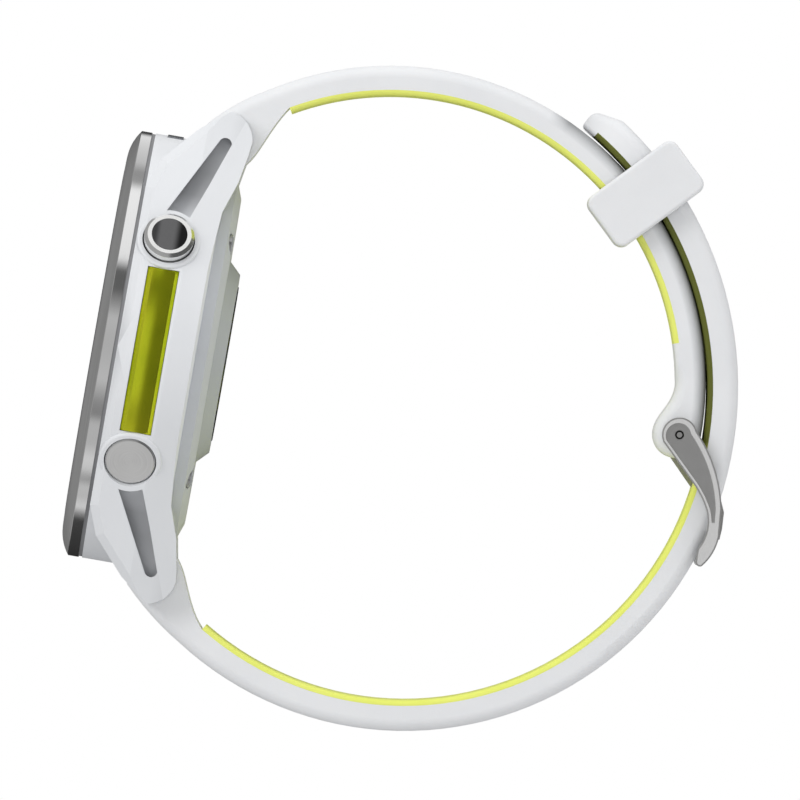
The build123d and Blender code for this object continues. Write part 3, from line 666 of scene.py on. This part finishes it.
# %% Track ink
def enamel(name, colour, shade):
    """Printed enamel: slightly uneven ink."""
    finish = Finish(name, IOR=1.5)
    flow = finish.noise(finish.place(), 3.0, 3.0, 0.6)
    return finish.drive(
        Base_Color=finish.blend(flow.step(0.35, 0.65), colour, shade),
        Roughness=0.32 + flow * 0.12,
        Normal=finish.bump(flow, 0.004, 0.4),
    )


minute_marks.data.materials.append(enamel("grey_enamel", (0.32, 0.33, 0.34), (0.27, 0.28, 0.29)))
hour_marks.data.materials.append(enamel("white_enamel", (0.78, 0.79, 0.80), (0.70, 0.71, 0.72)))
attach(minute_marks, "case")
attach(hour_marks, "case")

# %% [markdown]
# ## Sensor eyes
#
# Under the rear window sit six light detectors round a cluster of lamps. Each detector shows as
# a rounded square with a thin rim, and each lamp as a small round lens. A detector is a block
# whose corners are bevelled and whose face is inset and sunk to leave the rim; a lamp is a
# cylinder whose face is inset twice and pushed out into a crown.

# %% Sensor eyes
WINDOW_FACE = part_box("sensor_window")[0][2]
EYE_DEPTH = 0.02 * MM
SLIGHT = 0.004 * MM
DETECTOR_RADIUS, LAMP_RADIUS = 5.2 * MM, 1.25 * MM      # from the window's centre


def detector_eye():
    """A rounded square with a raised rim, facing the wrist."""
    alone()
    side = 1.9 * MM
    place = (DETECTOR_RADIUS, 0, WINDOW_FACE)
    bpy.ops.mesh.primitive_cube_add(size=1, location=place, scale=(side, side, EYE_DEPTH))
    piece = settle("detector_eye")
    pick_edges(piece, lambda a, b: abs(a.z - b.z) > EYE_DEPTH * 0.5)
    bpy.ops.mesh.bevel(offset=side * 0.22, segments=4, affect="EDGES")
    bpy.ops.object.mode_set(mode="OBJECT")
    pick_faces(piece, lambda face: face.normal.z < -0.9)
    bpy.ops.mesh.inset(thickness=0.16 * MM)
    bpy.ops.mesh.inset(thickness=0.04 * MM)
    bpy.ops.transform.translate(value=(0, 0, SLIGHT))
    bpy.ops.object.mode_set(mode="OBJECT")
    return piece


def lamp_eye():
    """A small crowned lens, facing the wrist."""
    alone()
    bpy.ops.mesh.primitive_cylinder_add(
        vertices=32, radius=0.55 * MM, depth=EYE_DEPTH, location=(LAMP_RADIUS, 0, WINDOW_FACE)
    )
    piece = settle("lamp_eye")
    pick_faces(piece, lambda face: face.normal.z < -0.9)
    bpy.ops.mesh.inset(thickness=0.12 * MM)
    bpy.ops.transform.translate(value=(0, 0, -SLIGHT))
    bpy.ops.mesh.inset(thickness=0.18 * MM)
    bpy.ops.transform.translate(value=(0, 0, -SLIGHT * 0.5))
    bpy.ops.object.mode_set(mode="OBJECT")
    return piece


detector_eyes = ring_of(detector_eye(), [math.radians(60 * k + 30) for k in range(6)], "detector_eyes")
lamp_eyes = ring_of(lamp_eye(), [math.radians(90 * k + 45) for k in range(4)], "lamp_eyes")
detector_eyes.data.materials.append(gloss("detector_glass", (0.045, 0.018, 0.016), 0.10))
lamp_eyes.data.materials.append(gloss("lamp_glass", (0.10, 0.21, 0.09), 0.12))
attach(detector_eyes, "case")
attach(lamp_eyes, "case")

# %% [markdown]
# ## Studio
#
# The object is shown floating on white, seen square on from 3 o'clock through a very long lens,
# so the sides hardly converge. The world lights it softly and carries the broad bright and dark
# panels that polished metal needs around it; the camera itself sees plain white. The lamps and
# the floor are hidden from glossy rays, so metal mirrors only the world and the watch itself.
# The lens stays short enough for other viewpoints, which keep it and clip what is far away.

# %% Floor
FLOOR_DROP = 0.35
bpy.ops.mesh.primitive_plane_add(size=12, location=(0, 0, -FLOOR_DROP))
floor = bpy.context.object
floor.name = "floor"
floor_finish = Finish("pale_floor", Roughness=0.8)
floor_tone = floor_finish.noise(floor_finish.node("TexCoord").outputs["Object"], 3.0)
pale = floor_finish.blend(floor_tone, (0.93, 0.93, 0.93), (0.95, 0.95, 0.95))
floor.data.materials.append(floor_finish.drive(Base_Color=pale))
floor.visible_glossy = False
print("floor", FLOOR_DROP, "m below the origin")

# %% Camera
LOOK_AT = Vector((0, -0.59 * MM, -19.43 * MM))
VIEW_WIDTH = 87.34 * MM
DISTANCE = 3.9
TILT = math.radians(9.9)
camera_data = bpy.data.cameras.new("camera")
camera_data.sensor_width = 36.0
camera_data.lens = camera_data.sensor_width * DISTANCE / VIEW_WIDTH
camera_data.clip_end = 50.0
camera = bpy.data.objects.new("camera", camera_data)
bpy.context.collection.objects.link(camera)
right = Vector((0, math.sin(TILT), -math.cos(TILT)))
up = Vector((0, math.cos(TILT), math.sin(TILT)))
back = Vector((1, 0, 0))
spot = LOOK_AT + back * DISTANCE
camera.matrix_world = Matrix.Translation(spot) @ Matrix((right, up, back)).transposed().to_4x4()
bpy.context.scene.camera = camera
print("lens", round(camera_data.lens), "mm")


# %% Lights
def softbox(name, towards, distance, size, power):
    """A square area light that faces the watch."""
    data = bpy.data.lights.new(name, "AREA")
    data.size = size
    data.energy = power
    lamp = bpy.data.objects.new(name, data)
    bpy.context.collection.objects.link(lamp)
    direction = Vector(towards).normalized()
    lamp.location = LOOK_AT + direction * distance
    lamp.rotation_mode = "QUATERNION"
    lamp.rotation_quaternion = direction.to_track_quat("Z", "Y")
    lamp.visible_glossy = False
    return lamp


softbox("key", (0.75, 0.45, 0.75), 0.9, 0.5, 2.75)
softbox("top", (0.25, 1.0, 0.1), 0.8, 0.5, 1.3)
softbox("fill", (0.9, -0.8, -0.2), 1.0, 0.6, 0.7)
softbox("rim", (-0.90, 0.20, 0.40), 0.9, 0.3, 0.5)

# %% World
world = bpy.data.worlds.new("studio")
bpy.context.scene.world = world
world.use_nodes = True
nodes, links = world.node_tree.nodes, world.node_tree.links
nodes.clear()
direction = nodes.new("ShaderNodeTexCoord")
parts = nodes.new("ShaderNodeSeparateXYZ")
links.new(direction.outputs["Generated"], parts.inputs[0])
turn = nodes.new("ShaderNodeMath")
turn.operation = "ARCTAN2"
links.new(parts.outputs["Y"], turn.inputs[0])
links.new(parts.outputs["X"], turn.inputs[1])
share = nodes.new("ShaderNodeMapRange")
share.inputs["From Min"].default_value = -math.pi
share.inputs["From Max"].default_value = math.pi
links.new(turn.outputs[0], share.inputs[0])
# Each panel is (share of a full turn round Z, brightness); 0.5 is the direction +X.
PANELS = [
    (0.00, 0.02), (0.19, 0.05), (0.205, 0.25), (0.222, 0.68), (0.245, 0.50), (0.265, 0.54), (0.282, 0.30),
    (0.30, 0.60), (0.318, 0.66), (0.345, 0.46), (0.378, 0.48), (0.392, 0.22), (0.41, 0.26), (0.446, 0.52),
    (0.50, 0.44), (0.54, 0.50), (0.557, 0.32), (0.582, 0.12), (0.613, 0.11), (0.633, 0.84), (0.757, 0.92),
    (0.775, 0.32), (0.80, 0.30), (0.824, 0.55), (0.93, 0.80), (0.955, 0.05), (1.00, 0.02),
]
panels = nodes.new("ShaderNodeValToRGB")
ramp = panels.color_ramp
while len(ramp.elements) < len(PANELS):
    ramp.elements.new(0.5)
for element, (position, level) in zip(ramp.elements, PANELS):
    element.position = position
    element.color = (level, level, level, 1)
links.new(share.outputs[0], panels.inputs[0])


def level_band(low, high, below, colour):
    """Replaces the panels by one level where the direction's height passes from low to high."""
    height = nodes.new("ShaderNodeMapRange")
    height.interpolation_type = "SMOOTHSTEP"
    height.inputs["From Min"].default_value = low
    height.inputs["From Max"].default_value = high
    links.new(parts.outputs["Z"], height.inputs[0])
    mixed = nodes.new("ShaderNodeMix")
    mixed.data_type = "RGBA"
    links.new(height.outputs[0], mixed.inputs[0])
    links.new(below, mixed.inputs[6])
    mixed.inputs[7].default_value = (colour, colour, colour, 1)
    return mixed.outputs[2]


above = level_band(0.25, 0.42, panels.outputs[0], 0.34)
around = level_band(-0.10, -0.34, above, 0.10)
paths = nodes.new("ShaderNodeLightPath")
soft = nodes.new("ShaderNodeMix")
soft.data_type = "RGBA"
links.new(paths.outputs["Is Glossy Ray"], soft.inputs[0])
soft.inputs[6].default_value = (0.56, 0.563, 0.57, 1)
links.new(around, soft.inputs[7])
seen = nodes.new("ShaderNodeMix")
seen.data_type = "RGBA"
links.new(paths.outputs["Is Camera Ray"], seen.inputs[0])
links.new(soft.outputs[2], seen.inputs[6])
seen.inputs[7].default_value = (1, 1, 1, 1)
background = nodes.new("ShaderNodeBackground")
links.new(seen.outputs[2], background.inputs[0])
output = nodes.new("ShaderNodeOutputWorld")
links.new(background.outputs[0], output.inputs[0])
bpy.context.scene.view_settings.view_transform = "Standard"
print("world panels", len(PANELS))
